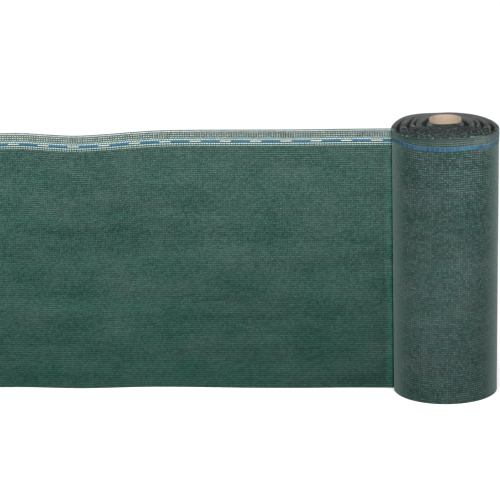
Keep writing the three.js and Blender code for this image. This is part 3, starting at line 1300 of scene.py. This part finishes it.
# %% [markdown]
# The wraps' edges
#
# Seen from above, the crests of the spiral are painted pale where they catch the light, and the grooves and
# the rings that lie back are painted dark as shade. Single wraps are paler or darker than their neighbours.
# At the front the edges lean outward, so their green faces show there with pale loops. The mesh gives the
# recess and the radius in its place attribute.

# %% Tones and flecks of the edges
own_tone = 0.8
least_tone = 0.6
darkest_tone = 0.2
fleck_depth = 4.4 * MM
fleck_length = 2.6 * MM
fleck_start = 0.66
fleck_full = 0.9
fleck_gain = 9


def wrap_tone(tree, radius, yarn):
    """How pale each turn's edge is, with bands of a few turns and the yarn's own shades over it."""
    ring_place = tree.node("ShaderNodeCombineXYZ", {"X": radius}).outputs[0]
    wrap_number = tree.math("ROUND", tree.math("DIVIDE", radius, wrap_pitch))
    tone = tree.math("MULTIPLY_ADD", tree.random(wrap_number, 3), own_tone, least_tone)
    tone = tree.math("MULTIPLY_ADD", tree.noise(ring_place, 260, 3), 0.2, tone)
    return tree.math("MULTIPLY_ADD", yarn["Shade"], 0.25, tone)


def edge_flecks(tree, along, radius, where, yarn, leaning):
    """Single pale loops, which show where the edges lean outward."""
    drift = tree.noise(where, 60, 2)
    ring = tree.math("ROUND", tree.math("ADD", tree.math("DIVIDE", radius, fleck_depth), drift))
    stitch = tree.math("ROUND", tree.math("DIVIDE", along, fleck_length))
    fleck = tree.smooth_step(tree.random(stitch, ring), fleck_start, fleck_full)
    fleck = tree.math("MULTIPLY", fleck, tree.math("MULTIPLY_ADD", yarn["Shade"], 0.5, 1))
    return tree.math("MULTIPLY", fleck, leaning)


# %% Wound edges
def wound_edges():
    material, tree, shader, place = new_material("netting edges, wound", 0.3)
    yarn = use_group(tree, yarn_surface, Place=place, Fineness=0.7, Patch_Size=0.04)
    along, recess, radius = tree.node("ShaderNodeSeparateXYZ", {0: place}).outputs
    where = tree.node("ShaderNodeTexCoord").outputs["Object"]
    towards_back = tree.node("ShaderNodeSeparateXYZ", {0: where}).outputs["Y"]
    towards_front = tree.math("SUBTRACT", axis_y, towards_back)
    leaning = tree.smooth_step(towards_front, -2 * MM, 30 * MM)
    outer = tree.smooth_step(radius, 62 * MM, 97 * MM)
    flecks = edge_flecks(tree, along, radius, where, yarn, leaning)
    tone = tree.math("MULTIPLY_ADD", flecks, fleck_gain, wrap_tone(tree, radius, yarn))
    tone = tree.math("MAXIMUM", tone, darkest_tone)
    slope = tree.mix(outer, (0.0065, 0.0095, 0.009, 1), (0.01, 0.018, 0.016, 1))
    crest = scaled(tree, tree.mix(leaning, (0.105, 0.11, 0.11, 1), slope), tone)
    groove = tree.mix(leaning, (0.004, 0.006, 0.0055, 1), (0.005, 0.009, 0.008, 1))
    # Painted shade: grooves and rings that lie back take the dark groove colour, except under the pale
    # flecks.
    uncovered = tree.math("MULTIPLY_ADD", flecks, -0.8, 1, clamp=True)
    shaded = tree.math("MULTIPLY", tree.smooth_step(recess, 0.15, 0.95), uncovered)
    tree.feed(shader.inputs["Base Color"], tree.mix(shaded, crest, groove))
    tree.feed(shader.inputs["Roughness"], tree.math("MULTIPLY_ADD", yarn["Shade"], 0.05, 0.7))
    add_bump(tree, shader, yarn["Shade"], 0.3 * MM, 0.7)
    return material


dress(wound_edges(), end, base)

# %% [markdown]
# Card
#
# The core is grey-brown card, wound from strips at a slant. The plies show as fine lines on the cut rim, the
# slanted seams on the walls. Distance from the axis, height and angle are enough to draw all of it.

# %% Plies, seams and colour of the card
ply_rate = 9000
strip_lead = 105 * MM


def card_plies(tree, where, radius):
    """Fine rings of paper, which wander a little."""
    even_plies = tree.math("MULTIPLY", radius, ply_rate)
    return tree.math("SINE", tree.math("MULTIPLY_ADD", tree.noise(where, 60), 0.6, even_plies))


def card_seam(tree, x, y, height):
    """1 along the slanted seams between the strips."""
    turn = tree.math("DIVIDE", tree.math("ARCTAN2", y, x), 2 * math.pi)
    lead = tree.math("DIVIDE", height, strip_lead)
    slant = tree.math("FRACT", tree.math("ADD", turn, lead))
    return tree.smooth_step(tree.math("ABSOLUTE", tree.math("SUBTRACT", slant, 0.5)), 0.012, 0.002)


def card_colour(tree, where, radius, height, plies):
    """Mottled walls, browner inside than outside, and a cut rim with its plies."""
    blotch = tree.math("MULTIPLY_ADD", tree.noise(where, 70, 3), 0.2, 0.5, clamp=True)
    layers = tree.math("MULTIPLY_ADD", plies, 0.25, 0.6, clamp=True)
    bore = tree.mix(blotch, (0.24, 0.17, 0.13, 1), (0.35, 0.26, 0.205, 1))
    jacket = tree.mix(blotch, (0.18, 0.145, 0.08, 1), (0.27, 0.23, 0.145, 1))
    cut = tree.mix(layers, (0.17, 0.13, 0.095, 1), (0.27, 0.215, 0.165, 1))
    outside = tree.smooth_step(radius, core_radius - 1.2 * MM, core_radius - 0.6 * MM)
    rim = tree.smooth_step(height, core_length - 1.2 * MM, core_length - 0.2 * MM)
    return tree.mix(rim, tree.mix(outside, bore, jacket), cut)


# %% Card material
def wound_card():
    material, tree, shader = new_material("card", 0.3)[:3]
    where = tree.node("ShaderNodeTexCoord").outputs["Object"]
    from_axis = {0: where, 1: (axis_x, axis_y, 0)}
    centred = tree.node("ShaderNodeVectorMath", from_axis, operation="SUBTRACT").outputs[0]
    x, y, height = tree.node("ShaderNodeSeparateXYZ", {0: centred}).outputs
    radius = tree.math("SQRT", tree.math("MULTIPLY_ADD", y, y, tree.math("MULTIPLY", x, x)))
    plies = card_plies(tree, where, radius)
    seam = card_seam(tree, x, y, height)
    fibres = tree.noise(where, 900, 4, (1, 1, 0.35))
    colour = card_colour(tree, where, radius, height, plies)
    colour = tree.mix(tree.math("MULTIPLY", seam, 0.5), colour, (0.16, 0.1, 0.07, 1))
    colour = scaled(tree, colour, tree.math("MULTIPLY_ADD", fibres, 0.05, 1))
    tree.feed(shader.inputs["Base Color"], colour)
    tree.feed(shader.inputs["Roughness"], tree.math("MULTIPLY_ADD", fibres, 0.04, 0.85))
    relief = tree.math("MULTIPLY_ADD", plies, 0.3, fibres)
    relief = tree.math("MULTIPLY_ADD", seam, -3, relief)
    add_bump(tree, shader, relief, 0.08 * MM, 0.7)
    return material


dress(wound_card(), core)

# %% [markdown]
# The cloth
#
# The loose length is held by the roll and drawn out straight, and the last wrap is one turn of the same
# cloth, wound round the roll.

# %% [markdown]
# Floor and light
#
# The photograph is a plain catalogue picture, so the floor is large and almost white. The light is strongest
# near the top of the object: a wide soft box hangs close in front of it. Weaker distant lamps on the right
# and left soften its shadows, and another one high up keeps the floor white. The picture's white isn't
# a real floor, so this one sends less light back at the object than it shows to the camera.

# %% Floor
floor_side = 30.0
floor_mesh = bpy.data.meshes.new("floor")
half = floor_side / 2
corners = [(-half, -half, 0), (half, -half, 0), (half, half, 0), (-half, half, 0)]
floor_mesh.from_pydata(corners, [], [(0, 1, 2, 3)])
floor = bpy.data.objects.new("floor", floor_mesh)
bpy.context.collection.objects.link(floor)
floor_paint, floor_tree, floor_shader = new_material("pale floor", 0.1, Roughness=0.9)[:3]
floor_tone = floor_tree.noise(floor_tree.node("ShaderNodeTexCoord").outputs["Object"], 2.0)
floor_share = floor_tree.math("MULTIPLY_ADD", floor_tone, 0.2, 0.5, clamp=True)
floor_white = floor_tree.mix(floor_share, (0.9, 0.9, 0.9, 1), (0.93, 0.93, 0.93, 1))
seen = floor_tree.node("ShaderNodeLightPath").outputs["Is Camera Ray"]
floor_colour = floor_tree.mix(seen, (0.3, 0.3, 0.3, 1), floor_white)
floor_tree.feed(floor_shader.inputs["Base Color"], floor_colour)
dress(floor_paint, floor)

# %% Lights
sky = bpy.data.worlds.new("studio")
sky.use_nodes = True
sky.node_tree.nodes["Background"].inputs["Color"].default_value = (0.97, 0.985, 1.0, 1)
sky.node_tree.nodes["Background"].inputs["Strength"].default_value = 0.36
bpy.context.scene.world = sky


def distant_lamp(name, from_front, above, strength, spread):
    """Soft light from far away: degrees to the right of the front, degrees above the floor."""
    lamp = bpy.data.lights.new(name, "SUN")
    lamp.angle = math.radians(spread)
    lamp.energy = strength
    holder = bpy.data.objects.new(name, lamp)
    side = math.radians(from_front)
    rise = math.radians(above)
    towards = Vector((math.sin(side) * math.cos(rise), -math.cos(side) * math.cos(rise), math.sin(rise)))
    holder.location = towards * 6
    holder.rotation_euler = towards.to_track_quat("Z", "Y").to_euler()
    bpy.context.collection.objects.link(holder)


def soft_box(name, x, front, height, wide, tall, power):
    """A level panel of light that faces the object from the front."""
    lamp = bpy.data.lights.new(name, "AREA")
    lamp.shape = "RECTANGLE"
    lamp.size = wide
    lamp.size_y = tall
    lamp.energy = power
    holder = bpy.data.objects.new(name, lamp)
    holder.location = (x, -front, height)
    holder.rotation_euler = (math.radians(90), 0, 0)
    bpy.context.collection.objects.link(holder)


distant_lamp("lamp right", from_front=18, above=27, strength=0.85, spread=28)
distant_lamp("lamp left", from_front=-42, above=35, strength=0.4, spread=30)
distant_lamp("lamp above", from_front=15, above=76, strength=1.7, spread=30)
soft_box("soft box", x=-0.2, front=1.05, height=1.4, wide=3.2, tall=0.6, power=52)
print("floor", floor_side, "m, lamps", len(bpy.data.lights))

# %% [markdown]
# Camera
#
# The photograph was taken from far away with a long lens: the sheet's rows run almost level, and the roll
# narrows very little. Its place and turn were found by matching the roll's and the sheet's edges. The turn
# is given as three angles: round the vertical, down, and a slight roll.

# %% Camera
camera_data = bpy.data.cameras.new("camera")
camera_data.lens = 288
camera_data.sensor_width = 36
camera_data.clip_end = 200
camera = bpy.data.objects.new("camera", camera_data)
bpy.context.collection.objects.link(camera)
yaw = math.radians(-0.96)
pitch = math.radians(16.01)
roll = math.radians(-0.8)
ahead = Vector((math.sin(yaw) * math.cos(pitch), math.cos(yaw) * math.cos(pitch), -math.sin(pitch)))
level_right = Vector((math.cos(yaw), -math.sin(yaw), 0))
level_up = level_right.cross(ahead)
right = math.cos(roll) * level_right + math.sin(roll) * level_up
up = math.cos(roll) * level_up - math.sin(roll) * level_right
turn = Matrix((right, up, -ahead)).transposed().to_4x4()
stand = Vector((axis_x - 0.2402, axis_y - 7.0629, 2.2974))
camera.matrix_world = Matrix.Translation(stand) @ turn
bpy.context.scene.camera = camera
bpy.context.scene.view_settings.view_transform = "Standard"
print("camera at", [round(v, 3) for v in stand])

# %% [markdown]
# Finish
#
# The view layer is updated once more at the end.

# %% Finish
bpy.context.view_layer.update()
